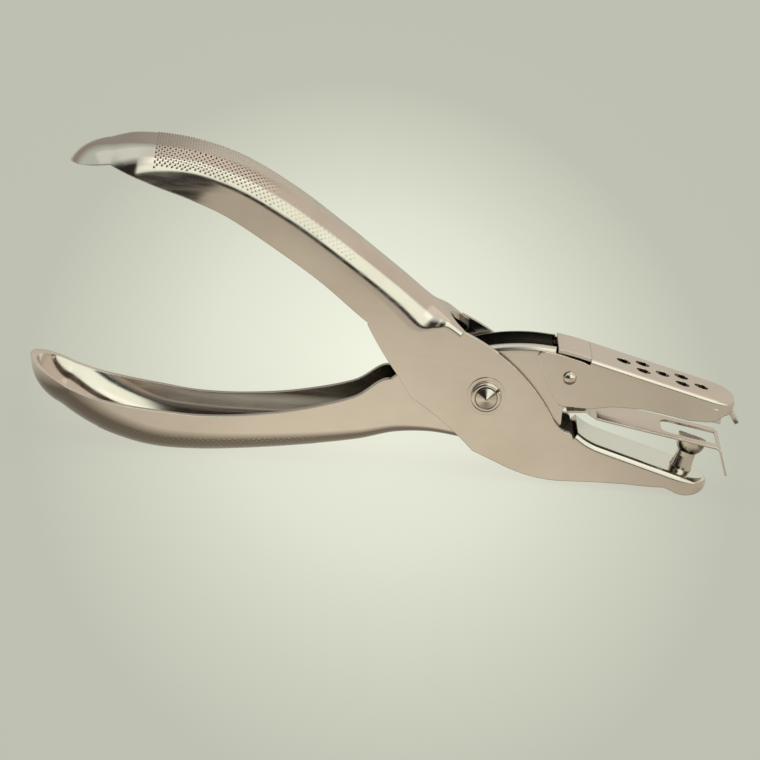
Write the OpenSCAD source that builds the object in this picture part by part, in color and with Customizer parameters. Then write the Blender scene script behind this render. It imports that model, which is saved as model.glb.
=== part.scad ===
// Single hole punch: two pressed steel levers crossed at one pivot, a punch on the lower jaw, and a die
// under a swing-up chip cover on the upper jaw.
// Side-view points are [forward, up] in mm, counted from the pivot axis. X is forward, Z is up.

/* [Levers] */
// Sheet thickness of the outer lever, which carries the punch
punch_sheet = 1.25; // [1:0.05:1.4]
// Half the outer width of the outer lever at the pivot
punch_half_w = 7.1; // [7:0.05:7.3]
// Sheet thickness of the inner lever, which carries the die
die_sheet = 1.2; // [1:0.05:1.3]
// Half the outer width of the inner lever at the pivot
die_half_w = 5.6; // [5.5:0.05:5.65]
// Height of the pivot axis over the table
pivot_up = 17.55; // [17.5:0.05:20]
// How far the pivot axis lies forward of the middle of the whole tool
pivot_ahead = 20.1; // [15:0.05:25]

/* [Pivot] */
// Radius of the pivot pin
pin_r = 2.1; // [1.9:0.05:2.2]
// Radial running clearance of the pin in the inner lever
pin_play = 0.07; // [0.02:0.01:0.1]
// Outer radius of the spacer sleeve
sleeve_r = 2.7; // [2.6:0.05:2.8]
// Outer radius of the thin washer
washer_r = 3.9; // [3.6:0.1:4.2]
// Wire radius of the split retaining ring
ring_wire_r = 0.6; // [0.5:0.05:0.65]

/* [Spring] */
// Wire diameter of the return spring
spring_wire = 1; // [0.8:0.1:1.1]
// Mean radius of its coils
spring_r = 3.6; // [3.5:0.05:4]
// Number of coils
spring_turns = 5; // [3:1:5]

/* [Punch and die] */
// Radius of the punch's cutting end, for a 6 mm hole
cutter_r = 3; // [2.9:0.05:3.05]
// Radial clearance of the punch in the die
die_play = 0.15; // [0.12:0.01:0.2]
// Height of the punch over the lower jaw
cutter_h = 6.8; // [6.5:0.1:7]
// Thickness of the die plate
die_thick = 2; // [1.6:0.1:2.2]
// Thickness of the stripper sheet
stripper_sheet = 0.45; // [0.4:0.05:0.5]
// Half the width of the stripper
stripper_half_w = 6.5; // [6:0.1:6.5]

/* [Chip cover] */
// Sheet thickness of the cover
cover_sheet = 0.8; // [0.6:0.05:0.85]
// Half the outer width of the cover
cover_half_w = 6.6; // [6.55:0.05:6.7]
// Radius of the round vent holes
vent_r = 1.48; // [1.2:0.02:1.6]
// Pitch of the vent holes' hexagonal pattern
vent_pitch = 4.8; // [4.4:0.1:5]
// Radius of the hinge studs' shanks
stud_r = 1; // [0.9:0.05:1.1]

/* [Hidden] */
nickel = "#c9b9a3";
bright_steel = "#b9bcc0";
$fn = 64;

// Lofted channels: rows of crown point, rim point, half width and back corner radius, tip first
punch_handle = [
    [[-79, 44.6], [-78.45, 41.2], 10.3, 10.2],
    [[-74.3, 45.8], [-73.7, 39.6], 10.2, 8.6],
    [[-68, 46], [-68.5, 37.8], 9.9, 7.2],
    [[-60, 44.9], [-62.3, 35.8], 9.3, 6.4],
    [[-51, 42], [-54.8, 32.8], 8.6, 5.9],
    [[-40.7, 36.7], [-45.5, 27.4], 7.9, 5.4],
    [[-30, 29.7], [-35.2, 20.8], 7.38, 5],
    [[-19.3, 22.3], [-24.8, 13], punch_half_w + 0.08, 4.2],
    [[-12, 17], [-17.5, 9], punch_half_w + 0.04, 3],
    [[-3.6, 11.4], [-7.5, 4.5], punch_half_w + 0.03, 1.6]];
die_handle = [
    [[-85.2, -10.6], [-82.9, -5.3], 10.6, 10.2],
    [[-80, -13.5], [-78.3, -6.7], 10.3, 8.2],
    [[-74, -15.7], [-72.8, -7.6], 10.1, 7.2],
    [[-66, -17.2], [-65.5, -8.3], 9.7, 6.5],
    [[-57, -17.3], [-57.3, -8.8], 8.9, 6],
    [[-47, -16.3], [-48, -8.2], 8.1, 5.3],
    [[-36, -14.7], [-37.5, -6.4], 7.2, 4.5],
    [[-25, -12.6], [-27.5, -3.6], 6.3, 3.6],
    [[-17.5, -10.3], [-18.8, -2], die_half_w + 0.06, 2.6],
    [[-10.5, -9.4], [-10.8, -3], die_half_w + 0.03, 1.8],
    [[-4, -9.9], [-4, -4], die_half_w + 0.02, 1.5]];
steps_per_row = 3;
corner_steps = 5;

// Lower jaw of the outer lever: a channel that climbs at its rear edge and ends in a round nose
jaw_slope = 15.6;
jaw_rear_slope = 38;
jaw_rear_r = 13.8;
jaw_start = [24, -8.77];
jaw_len = 16.5;
jaw_bend_r = 1.6;
jaw_wall = 9;
jaw_dir = [cos(jaw_slope), -sin(jaw_slope)];
jaw_up = [sin(jaw_slope), cos(jaw_slope)];
nose_at = jaw_start + jaw_len * jaw_dir;
cutter_at = nose_at + 1.1 * jaw_dir;
cutter_shank_r = 1.6;

// Crowned top of the upper jaw: an arc that runs on into the cover's straight slope
crown_centre = [9.2, -29.1];
crown_r = 40;
cover_slope = 13.7;
die_bend_r = 1.5;
die_web_ends = [-5, 13.2];
tongue_ends = [13.6, 20.4];
cover_run_start = crown_centre + crown_r * [sin(cover_slope), cos(cover_slope)];
cover_dir = [cos(cover_slope), -sin(cover_slope)];
cover_nose_x = 50.5;
cover_corner_r = 5;
cover_bend_r = 1.1;
tongue_half_w = 4.5;
hinge_at = [16.3, 5.1];
stud_play = 0.07;

// Die: its face is square to the punch at the middle of the bite
die_slope = 8.45;
die_face_at = [43.31, -1.86];
die_axis_at = [43.32, -1.52];
stripper_top = [[16.4, -1.83], [20.2, -1.45], [21, -1.95], [22.6, -2.8], [24.3, -3.1], [47.2, -6.8],
                [48.2, -7.4], [49.9, -12.5]];

function fall(slope) = [sin(slope), cos(slope)];
function die_face_up(x) = die_face_at[1] - (x - die_face_at[0]) * tan(die_slope);

// Points on the arc from a to b that bulges by rise to the left of the way from a to b
function bulge(a, b, rise, steps = 8) =
    let (chord = norm(b - a), along = (b - a) / chord, left = [-along[1], along[0]],
         r = (chord * chord / 4 + rise * rise) / (2 * abs(rise)), side = sign(rise),
         centre = (a + b) / 2 + left * (rise - side * r), half = asin(chord / 2 / r))
    [for (i = [0:steps]) let (t = -half + 2 * half * i / steps)
        centre + r * sin(t) * along + side * r * cos(t) * left];

// Catmull-Rom curve through rows, with the ends repeated
function between(p, i, t) =
    let (a = p[max(i - 1, 0)], b = p[i], c = p[i + 1], d = p[min(i + 2, len(p) - 1)])
    0.5 * (2 * b + (c - a) * t + (2 * a - 5 * b + 4 * c - d) * t * t + (3 * b - a - 3 * c + d) * t * t * t);
function flat_row(row) = [row[0][0], row[0][1], row[1][0], row[1][1], row[2], row[3]];
function refined(rows, steps) =
    let (flat = [for (row = rows) flat_row(row)])
    concat([for (i = [0:len(rows) - 2], k = [0:steps - 1]) between(flat, i, k / steps)], [flat[len(rows) - 1]]);

// Half of a pressed section, crown to rim, as [sideways, depth]
function half_section(half_w, corner, depth, inset) =
    let (r = corner - inset, reach = min(depth * 0.94, corner), turn = acos((corner - reach) / r),
         edge = sqrt(r * r - pow(corner - min(depth, corner), 2)))
    concat([for (k = [0:corner_steps]) let (t = turn * k / corner_steps)
                [half_w - corner + r * sin(t), corner - r * cos(t)]],
           [[half_w - corner + edge, depth]]);
function mirrored(points) = [for (p = points) [-p[0], p[1]]];
function backwards(points) = [for (i = [len(points) - 1:-1:0]) points[i]];
function section_ring(row, sheet) =
    let (crown = [row[0], row[1]], rim = [row[2], row[3]], depth = norm(rim - crown), down = (rim - crown) / depth,
         outer = half_section(row[4], row[5], depth, 0), inner = half_section(row[4], row[5], depth, sheet),
         flat = concat(backwards(mirrored(outer)), outer, backwards(inner), mirrored(inner)))
    [for (p = flat) [crown[0] + down[0] * p[1], p[0], crown[1] + down[1] * p[1]]];

// Pressed channel: a lofted open section, closed by half a turn of its first section. The half turn is
// exact in tip(), or in steps of the loft's own mesh, where its flat faces go on from the channel's
module pressed_channel(rows, sheet, nose_steps = 0) {
    rings = [for (row = refined(rows, steps_per_row)) section_ring(row, sheet)];
    n = len(rings[0]);
    last = len(rings) - 1;
    along = rows[1][0] - rows[0][0];
    down = rows[0][1] - rows[0][0];
    turn = sign(along[0] * down[1] - along[1] * down[0]);
    sides = [for (i = [0:last - 1], j = [0:n - 1]) let (a = i * n + j, b = i * n + (j + 1) % n)
        each [[a, a + n, b], [b, a + n, b + n]]];
    near_end = [for (j = [0:n / 2 - 2]) let (a = n - 1 - j) each [[j, j + 1, a], [j + 1, a - 1, a]]];
    far_end = [for (j = [0:n / 2 - 2]) let (a = n - 1 - j, e = last * n)
        each [[e + j, e + a, e + j + 1], [e + j + 1, e + a, e + a - 1]]];
    faces = concat(sides, far_end, nose_steps > 0 ? nose_faces(n, last, nose_steps) : near_end);
    turned = turn > 0 ? faces : [for (f = faces) backwards(f)];
    polyhedron(concat([for (ring = rings) each ring], nose_points(rows[0], sheet, turn, nose_steps)), turned,
        convexity = 6);
    if (nose_steps == 0) tip(rows[0], sheet, turn);
}
function nose_points(row, sheet, turn, steps) =
    let (depth = norm(row[1] - row[0]), down = (row[1] - row[0]) / depth, ahead = turn * [-down[1], down[0]],
         half = concat(half_section(row[2], row[3], depth, 0), backwards(half_section(row[2], row[3], depth, sheet))))
    [for (k = [1:1:steps - 1], p = half) let (a = 180 * k / steps, at = row[0] + down * p[1] + ahead * p[0] * sin(a))
        [at[0], p[0] * cos(a), at[1]]];
function nose_faces(n, last, steps) =
    let (half = n / 2, base = (last + 1) * n,
         id = function (k, j) k == 0 ? half / 2 + j
             : k == steps ? (j < half / 2 ? half / 2 - 1 - j : n + half / 2 - 1 - j) : base + (k - 1) * half + j)
    concat([for (k = [0:steps - 1], j = [0:half - 2])
                each [[id(k, j), id(k, j + 1), id(k + 1, j + 1)], [id(k, j), id(k + 1, j + 1), id(k + 1, j)]]],
           [for (k = [1:steps - 1]) each [[id(0, 0), id(k, 0), id(k + 1, 0)],
                [id(0, half - 1), id(k + 1, half - 1), id(k, half - 1)]]]);
module tip(row, sheet, turn) {
    depth = norm(row[1] - row[0]);
    down = (row[1] - row[0]) / depth;
    ahead = turn * [-down[1], down[0]];
    side = ahead[1] * down[0] - ahead[0] * down[1];
    outer = half_section(row[2], row[3], depth, 0);
    inner = half_section(row[2], row[3], depth, sheet);
    multmatrix([[0, ahead[0], down[0], row[0][0]], [side, 0, 0, 0], [0, ahead[1], down[1], row[0][1]]])
        rotate_extrude(angle = 180) polygon(concat([[0, 0]], outer, backwards(inner), [[0, sheet]]));
}

// Channel section for bent sheet: crown at x = 0, walls towards -x, width along y
module channel_section(half_w, sheet, bend, wall) {
    difference() {
        rounded_block(half_w, bend, wall);
        translate([-sheet, 0]) rounded_block(half_w - sheet, max(bend - sheet, 0.2), wall);
    }
}
module rounded_block(half_w, bend, wall) {
    translate([-wall, -half_w]) square([wall - bend, 2 * half_w]);
    translate([-wall, bend - half_w]) square([wall, 2 * (half_w - bend)]);
    for (side = [-1, 1]) translate([-bend, side * (half_w - bend)]) circle(bend);
}
// Turns a section that lies in x and y through an angle about an axis across the punch
module arc_run(centre, from, to) {
    translate([centre[0], 0, centre[1]]) rotate([90, 0, 0]) rotate([0, 0, from])
        rotate_extrude(angle = to - from) children();
}
// Pushes a section that lies in x and y forward and down a slope
module straight_run(start, slope, length) {
    translate([start[0], 0, start[1]]) rotate([0, slope, 0]) rotate([0, 90, 0])
        linear_extrude(length) mirror([1, 0]) children();
}
module side_cut(points, half_w = 20) {
    rotate([90, 0, 0]) translate([0, 0, -half_w]) linear_extrude(2 * half_w) polygon(points);
}
// Flat cheeks that lie a hair inside the bent walls that they join, so that no faces coincide
cheek_inset = 0.03;
module cheeks(points, half_w, sheet) {
    for (y = [cheek_inset - half_w, half_w - sheet + cheek_inset])
        translate([0, y + sheet - 2 * cheek_inset, 0]) rotate([90, 0, 0])
            linear_extrude(sheet - 2 * cheek_inset) polygon(points);
}
module across(at, r, half_len = 20) {
    translate([at[0], 0, at[1]]) rotate([90, 0, 0]) cylinder(r = r, h = 2 * half_len, center = true);
}
module placed() {
    translate([pivot_ahead, 0, pivot_up]) children();
}

// Cheek outline of the outer lever; the under_cut trims its underside
punch_front = concat(bulge([-5.7, 12.8], [14.1, -4.2], 2.2, 10), [[15.5, -5.7], [16.4, -6.15], [17.4, -6.3],
    [18, -6.8], [18.3, -7.9], [21.1, -9.6], [23.5, -10.5], [27, -11.5], [27, -19], [0, -19]]);
punch_rear = concat(bulge([-1.7, -11.7], [-15, -1.6], -0.5, 4), bulge([-17.9, 2.5], [-25, 12.7], 0.25, 4),
    [[-24, 14], [-12.5, 13], [-7, 11]]);
under_cut = concat([[-6, -30], [-1.7, -11.7]], backwards(bulge([15.7, -16.5], [5, -14.4], 0.5, 4)), [[24, -16.1]],
    bulge([30, -16], [37.4, -16], -0.1, 4), bulge([39.3, -16.7], [47.3, -16.3], -1.05, 8), [[60, -16], [60, -30]]);

// Lower jaw: a straight web behind a round nose, and an arc that climbs at its rear edge
jaw_rear = jaw_start + jaw_rear_r * jaw_up;
function jaw_row(at, slope, wall) =
    [at, at - wall * [sin(slope), cos(slope)], punch_half_w, jaw_bend_r];
jaw_rows = concat([for (s = [1, 0.5, 0]) jaw_row(jaw_start + s * jaw_len * jaw_dir, jaw_slope, jaw_wall - 3 + 3 * s)],
    [for (slope = [22, 30, jaw_rear_slope]) jaw_row(jaw_rear - jaw_rear_r * [sin(slope), cos(slope)], slope, 4)]);
module upper_handle() {
    difference() {
        pressed_channel(punch_handle, punch_sheet);
        // The back stops in a round mouth behind the pivot
        translate([-2.3, 0, 0]) cylinder(r = 6.2, h = 40);
        side_cut([[-5.7, 30], [-5.7, 12.8], [0, 9], [0, -20], [20, -20], [20, 30]]);
    }
}
module punch_lever() {
    color(nickel) placed() difference() {
        union() {
            upper_handle();
            pressed_channel(jaw_rows, punch_sheet, 16);
            cheeks(concat(punch_front, punch_rear), punch_half_w, punch_sheet);
        }
        side_cut(under_cut);
        across([0, 0], pin_r);
        translate([cutter_at[0], 0, cutter_at[1]]) rotate([0, jaw_slope, 0])
            cylinder(r = cutter_shank_r, h = 10, center = true);
    }
}

module punch_pin() {
    land = 0.9;
    waist_r = 1.95;
    color(bright_steel) placed() translate([cutter_at[0], 0, cutter_at[1]]) rotate([0, jaw_slope, 0]) difference() {
        rotate_extrude() polygon(concat(
            [[0, -1.85], [2.3, -1.85], [2.3, -punch_sheet], [cutter_shank_r, -punch_sheet], [cutter_shank_r, 0],
             [2.35, 0], [2.2, 0.5], [waist_r, 2.6]],
            bulge([waist_r, 3.6], [cutter_r, cutter_h - land], -0.28, 6), [[cutter_r, cutter_h], [0, cutter_h]]));
        // Hollow-ground cutting face
        translate([0, 0, cutter_h + 9.5]) rotate([90, 0, 0]) cylinder(r = 10, h = 10, center = true);
    }
}

punch_face = punch_half_w - cheek_inset;
die_inner = die_half_w - die_sheet + cheek_inset;
washer_thick = 0.3;
ring_y = punch_face + washer_thick + ring_wire_r;
module pivot_pin() {
    groove_r = pin_r - 0.2;
    point = ring_y + ring_wire_r + 1.2;
    color(nickel) placed() rotate([90, 0, 0]) rotate_extrude() polygon([[0, -punch_face - 1.1],
        [2.6, -punch_face - 1.1], [3.3, -punch_face - 0.85], [3.6, -punch_face - 0.4],
        [3.6, -punch_face], [pin_r, -punch_face], [pin_r, ring_y - ring_wire_r], [groove_r, ring_y - ring_wire_r],
        [groove_r, ring_y + ring_wire_r], [pin_r, ring_y + ring_wire_r], [pin_r, point - 0.9], [0, point]]);
}
module retaining_ring() {
    gap = 12;
    color(nickel) placed() rotate([90, 0, 0]) translate([0, 0, ring_y]) rotate([0, 0, 38 + gap / 2])
        rotate_extrude(angle = 360 - gap) translate([pin_r - 0.2 + ring_wire_r, 0]) circle(ring_wire_r, $fn = 32);
}
module pivot_washer() {
    color(nickel) placed() rotate([90, 0, 0]) translate([0, 0, punch_face]) difference() {
        cylinder(r = washer_r, h = washer_thick);
        translate([0, 0, -1]) cylinder(r = pin_r, h = 3);
    }
}
module spacer_sleeve() {
    color(nickel) placed() rotate([90, 0, 0]) difference() {
        cylinder(r = sleeve_r, h = 2 * die_inner, center = true);
        cylinder(r = pin_r + pin_play, h = 20, center = true);
    }
}

function crown_at(r, x) = [x, crown_centre[1] + sqrt(r * r - pow(x - crown_centre[0], 2))];
function crown_angle(x) = acos((x - crown_centre[0]) / crown_r);
die_top = concat([for (x = [-4.6:3:13.4]) crown_at(crown_r - 1.8, x)], [[18.7, 7.9], [46.1, 1.25]]);
die_outline = concat([[-26, -4.4], [-23.5, -1.6], [-20, 0.8], [-15.5, 4.7]], bulge([-12, 6.9], [-5.6, 8.3], 0.3, 3),
    die_top, [[46.1, -1.2], [41, -1.6], [36.3, -0.7], [31, 0.15], [25.6, 0.1], [21, -0.85]],
    [[16, -1.3], [15.6, -2.2]], bulge([15.6, -5], [4, -11.2], 1.6, 6), [[-2, -9.2], [-10.5, -7.2],
    [-18, -7.4], [-26, -8.6]]);
module die_lever() {
    color(nickel) placed() difference() {
        union() {
            pressed_channel(die_handle, die_sheet);
            cheeks(die_outline, die_half_w, die_sheet);
            arc_run(crown_centre, crown_angle(die_web_ends[1]), crown_angle(die_web_ends[0]))
                translate([crown_r, 0]) channel_section(die_half_w, die_sheet, die_bend_r, 4);
        }
        across([0, 0], pin_r + pin_play);
        across(hinge_at, stud_r);
    }
}

// Torsion spring: coils on the sleeve, one leg under each handle's back
spring_sides = 6;
coil_steps = 16;
spring_pitch = spring_wire + 0.5;
upper_leg = [[-5.5, 4.6], [-13, 11.2], [-24.5, 20.5], [-27.5, 22.9]];
lower_leg = [[-5.5, -3.6], [-13, -6.4], [-22.5, -9.3], [-26.5, -10.3]];
leg_from = atan2(upper_leg[0][1], upper_leg[0][0]) - acos(spring_r / norm(upper_leg[0]));
leg_to = atan2(lower_leg[0][1], lower_leg[0][0]) + 360 + acos(spring_r / norm(lower_leg[0]));
coil_turn = 360 * (spring_turns - 1) + leg_to - leg_from;
coil_half_w = spring_pitch * coil_turn / 720;
coil_path = [for (i = [0:coil_steps * spring_turns]) let (t = i / (coil_steps * spring_turns), a = leg_from + t * coil_turn)
    [spring_r * cos(a), coil_half_w * (2 * t - 1), spring_r * sin(a)]];
spring_path = concat([for (p = backwards(upper_leg)) [p[0], -coil_half_w, p[1]]], coil_path,
    [for (p = lower_leg) [p[0], coil_half_w, p[1]]]);
function unit(v) = v / norm(v);
function tube_ring(path, i, r) =
    let (way = unit(path[min(i + 1, len(path) - 1)] - path[max(i - 1, 0)]), out = unit(cross(way, [0, 1, 0.001])),
         up = cross(out, way))
    [for (k = [0:spring_sides - 1]) let (a = 360 * k / spring_sides) path[i] + r * (cos(a) * out + sin(a) * up)];
// Least gap between turns, measured between points at least half a turn apart
spring_gap = min([for (i = [0:len(spring_path) - 1], j = [i + coil_steps / 2:1:len(spring_path) - 1])
    norm(spring_path[i] - spring_path[j])]) - spring_wire;
echo(str("Least gap of the return spring to itself: ", spring_gap, " mm"));
module return_spring() {
    n = spring_sides;
    last = len(spring_path) - 1;
    points = [for (i = [0:last]) each tube_ring(spring_path, i, spring_wire / 2)];
    sides = [for (i = [0:last - 1], k = [0:n - 1]) let (a = i * n + k, b = i * n + (k + 1) % n)
        each [[a, b, a + n], [b, b + n, a + n]]];
    color(bright_steel) placed() polyhedron(points, concat(sides, [[for (k = [n - 1:-1:0]) k]],
        [[for (k = [0:n - 1]) last * n + k]]), convexity = 10);
}

module die_plate() {
    top_up = die_thick / cos(die_slope);
    color(bright_steel) placed() difference() {
        side_cut([[15.8, -1.87], [20.3, -1.42], [24.6, die_face_up(24.6)], [47.6, die_face_up(47.6)],
            [47.6, die_face_up(47.6) + top_up], [26, die_face_up(26) + top_up], [22, 1.2], [15.8, 0.2]], die_inner);
        translate([die_axis_at[0], 0, die_axis_at[1]]) rotate([0, die_slope, 0])
            cylinder(r = cutter_r + die_play, h = 20, center = true);
        for (side = [-1, 1]) at_rivet(side) cylinder(r = rivet_r, h = 8, center = true);
    }
}
module stripper_plate() {
    under = [for (i = [len(stripper_top) - 1:-1:0]) let (p = stripper_top[i], steep = i > 5 ? 1 : 0)
        p - stripper_sheet * (steep ? [0.95, 0.31] : fall(9) - [2 * sin(9), 0])];
    color(nickel) placed() difference() {
        side_cut(concat(stripper_top, under), stripper_half_w);
        // Slot for the punch, open as far as the bent lip
        translate([0, 0, -20]) linear_extrude(40) {
            translate([38, -4.2]) square([9.3, 8.4]);
            translate([36, -2.2]) square([4, 4.4]);
            for (y = [-2.2, 2.2]) translate([38, y]) circle(2);
        }
        for (side = [-1, 1]) at_rivet(side) cylinder(r = rivet_r, h = 8, center = true);
    }
}
// Rivets stand square to the rear end of the stripper; the near side is -Y
rivet_y = 2.3;
rivet_r = 0.8;
module at_rivet(side) {
    translate([17.6, side * rivet_y, -1.71]) rotate([0, -5.71, 0]) children();
}
module rivet(side) {
    head = 0.25;
    color(nickel) placed() at_rivet(side) translate([0, 0, -stripper_sheet - 0.02 - head]) {
        cylinder(r = rivet_r, h = 2.2);
        cylinder(r = 1.2, h = head);
    }
}
module near_rivet() { rivet(-1); }
module far_rivet() { rivet(1); }

module hinge_stud(side) {
    head_r = 1.4;
    shank = cover_half_w - die_half_w + die_sheet + 0.5;
    color(nickel) placed() translate([hinge_at[0], side * (die_half_w - die_sheet - 0.4), hinge_at[1]])
        rotate([-90 * side, 0, 0]) {
            cylinder(r = stud_r, h = shank + 0.1);
            cylinder(r = head_r, h = 0.4);
            translate([0, 0, shank]) intersection() {
                cylinder(r = head_r, h = 2);
                translate([0, 0, -0.3]) sphere(r = sqrt(head_r * head_r + 0.09));
            }
        }
}
module near_hinge_stud() { hinge_stud(-1); }
module far_hinge_stud() { hinge_stud(1); }

cover_hem = concat([[21, -1], [25.6, -0.15]], bulge([31.1, -0.1], [41, -1.65], 0.1, 3), [[45, -1.65], [46.8, -1.2],
    [48.2, -0.4]]);
cover_cheek = concat([[9.9, 9.7], [9.6, 9.2]], bulge([9.75, 8.6], [14, 0.2], -0.35, 5), [[14.5, -0.6], [15.3, -0.95]],
    cover_hem, [[45, 2], [24, 6.9], [20.4, 8.1], [18.7, 8.75], [14, 9.75], [10.9, 10.15]]);
module cover_block(half_w, bend, inset, wall) {
    // Filled form of the sloping hood, with rounded front corners
    length = (cover_nose_x - inset - cover_run_start[0]) / cover_dir[0];
    corner = cover_corner_r - inset;
    translate([cover_run_start[0], 0, cover_run_start[1]]) rotate([0, cover_slope, 0]) {
        intersection() {
            rotate([0, 90, 0]) linear_extrude(length) mirror([1, 0]) rounded_block(half_w, bend, wall);
            translate([0, 0, -wall]) linear_extrude(2 * wall) union() {
                translate([-1, -half_w]) square([length + 1 - corner, 2 * half_w]);
                translate([-1, corner - half_w]) square([length + 1, 2 * (half_w - corner)]);
                for (side = [-1, 1]) translate([length - corner, side * (half_w - corner)]) circle(corner);
            }
        }
    }
}
module chip_cover() {
    drop = cover_sheet / cos(cover_slope);
    color(nickel) placed() difference() {
        union() {
            difference() {
                cover_block(cover_half_w, cover_bend_r, 0, 12);
                translate([0, 0, -drop]) cover_block(cover_half_w - cover_sheet, 0.3, cover_sheet, 12);
                side_cut(concat([[20.4, 30], [0, 30], [0, -30], [60, -30], [60, -0.3]], backwards(cover_hem), [[20.4, -1]]));
            }
            cheeks(cover_cheek, cover_half_w, cover_sheet);
            thumb_tab();
        }
        across(hinge_at, stud_r + stud_play);
        vents();
    }
}
module thumb_tab() {
    // Rounded lip that leans out from the foot of the front wall
    translate([cover_nose_x - 0.45, 0, -1.1]) rotate([0, -32, 0]) intersection() {
        translate([-cover_sheet / 2, -2.6, -2.6]) cube([cover_sheet, 5.2, 3.9]);
        rotate([0, 90, 0]) cylinder(r = 2.6, h = 4, center = true);
    }
}
module vents() {
    step = vent_pitch * cos(30);
    for (i = [0:4], j = [0:i % 2]) {
        x = 27.2 + i * step * cover_dir[0];
        y = i % 2 ? (j - 0.5) * vent_pitch : 0;
        translate([x, y, cover_run_start[1] - (x - cover_run_start[0]) * tan(cover_slope)])
            rotate([0, cover_slope, 0]) cylinder(r = vent_r, h = 4, center = true);
    }
}
module cover_tongue() {
    color(nickel) placed() intersection() {
        union() {
            arc_run(crown_centre, crown_angle(cover_run_start[0]), crown_angle(tongue_ends[0]))
                translate([crown_r - cover_sheet, -tongue_half_w]) square([cover_sheet, 2 * tongue_half_w]);
            straight_run(cover_run_start, cover_slope, 4)
                translate([-cover_sheet, -tongue_half_w]) square([cover_sheet, 2 * tongue_half_w]);
        }
        side_cut([[0, 0], [tongue_ends[1], 0], [tongue_ends[1], 30], [0, 30]]);
    }
}

punch_lever();
punch_pin();
pivot_pin();
retaining_ring();
pivot_washer();
die_lever();
spacer_sleeve();
return_spring();
die_plate();
stripper_plate();
near_rivet();
far_rivet();
near_hinge_stud();
far_hinge_stud();
chip_cover();
cover_tongue();
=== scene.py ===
import bpy, bmesh, math
from mathutils import Matrix, Vector


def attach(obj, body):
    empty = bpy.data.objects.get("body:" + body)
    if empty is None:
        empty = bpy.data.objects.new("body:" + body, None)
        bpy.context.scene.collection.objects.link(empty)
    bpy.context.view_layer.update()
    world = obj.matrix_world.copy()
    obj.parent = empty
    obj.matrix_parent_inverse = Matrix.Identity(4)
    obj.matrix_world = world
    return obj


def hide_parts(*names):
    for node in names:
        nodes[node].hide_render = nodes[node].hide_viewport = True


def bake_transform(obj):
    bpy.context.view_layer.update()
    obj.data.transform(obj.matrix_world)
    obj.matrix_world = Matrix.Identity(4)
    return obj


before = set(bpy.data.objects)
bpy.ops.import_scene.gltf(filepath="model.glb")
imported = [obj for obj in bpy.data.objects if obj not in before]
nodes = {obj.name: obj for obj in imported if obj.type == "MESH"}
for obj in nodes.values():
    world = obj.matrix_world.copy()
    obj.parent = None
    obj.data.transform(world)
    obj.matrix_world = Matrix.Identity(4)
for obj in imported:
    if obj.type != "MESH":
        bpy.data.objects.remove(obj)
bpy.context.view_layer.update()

# Side-view points are [forward, up] in mm, counted from the pivot axis, as in the part's source
MM = 0.001
PIVOT = (20.1, 0.0, 17.55)
PUNCH_SHEET, PUNCH_HALF_W = 1.25, 7.1
DIE_SHEET, DIE_HALF_W = 1.2, 5.6
COVER_SHEET, COVER_HALF_W = 0.8, 6.6
CHEEK_INSET = 0.03
CHEEK_W, DIE_CHEEK_W, COVER_CHEEK_W = (w - CHEEK_INSET for w in (PUNCH_HALF_W, DIE_HALF_W, COVER_HALF_W))
WIDE = 20  # half width of a cutter that goes right through
WALL_STEPS = 2  # faces down a wall of a pressed channel
SHARP, SHARP_CUT = 32, 22  # angle over which an edge stays hard, in degrees: of a new mesh, and after a boolean
# In metres: leftovers of a boolean are closer than this, a vertex this near a cheek's plane is put on it, and
# faces of the inner finish, with its painted shade, are farther than this from the middle
WELD, PLANE_NEAR, INNER_FROM = 2e-7, 2e-6, 0.004
LEAST_FACES = 6  # an island of fewer faces is a boolean's leftover
rad = math.radians


# ---------------------------------------------------------------- materials
def tree_of(name):
    """A new material with an empty node tree."""
    mat = bpy.data.materials.new(name)
    mat.use_nodes = True
    tree = mat.node_tree
    tree.nodes.clear()
    return mat, tree, tree.nodes, tree.links


def feed(tree, socket, value):
    """Gives a socket a number, a colour, or the output of another node."""
    if isinstance(value, bpy.types.NodeSocket):
        tree.links.new(value, socket)
    else:
        socket.default_value = (*value, 1) if isinstance(value, tuple) else value


def map_range(tree, source, a, b, c, d, curve="LINEAR"):
    """The output source, mapped from a..b to c..d."""
    node = tree.nodes.new("ShaderNodeMapRange")
    node.interpolation_type = curve
    for socket, value in zip(node.inputs, (source, a, b, c, d)):
        feed(tree, socket, value)
    return node.outputs[0]


def maths(tree, operation, *values):
    """The result of an operation on numbers or outputs."""
    node = tree.nodes.new("ShaderNodeMath")
    node.operation = operation
    for socket, value in zip(node.inputs, values):
        feed(tree, socket, value)
    return node.outputs[0]


def mix(tree, *values):
    """The values are the share of the second colour, the first colour and the second."""
    node = tree.nodes.new("ShaderNodeMixRGB")
    for socket, value in zip(node.inputs, values):
        feed(tree, socket, value)
    return node.outputs[0]


def split_xyz(tree, source):
    """The outputs X, Y and Z of a vector."""
    node = tree.nodes.new("ShaderNodeSeparateXYZ")
    tree.links.new(source, node.inputs[0])
    return node.outputs


def colour_ramp(tree, source, table):
    """The output source through a ramp of places and colours."""
    node = tree.nodes.new("ShaderNodeValToRGB")
    tree.links.new(source, node.inputs[0])
    elements = node.color_ramp.elements
    elements[0].color = (*table[0][1], 1)
    elements[1].color = (*table[-1][1], 1)
    for at, colour in table[1:-1]:
        elements.new(at).color = (*colour, 1)
    return node.outputs[0]


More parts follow.
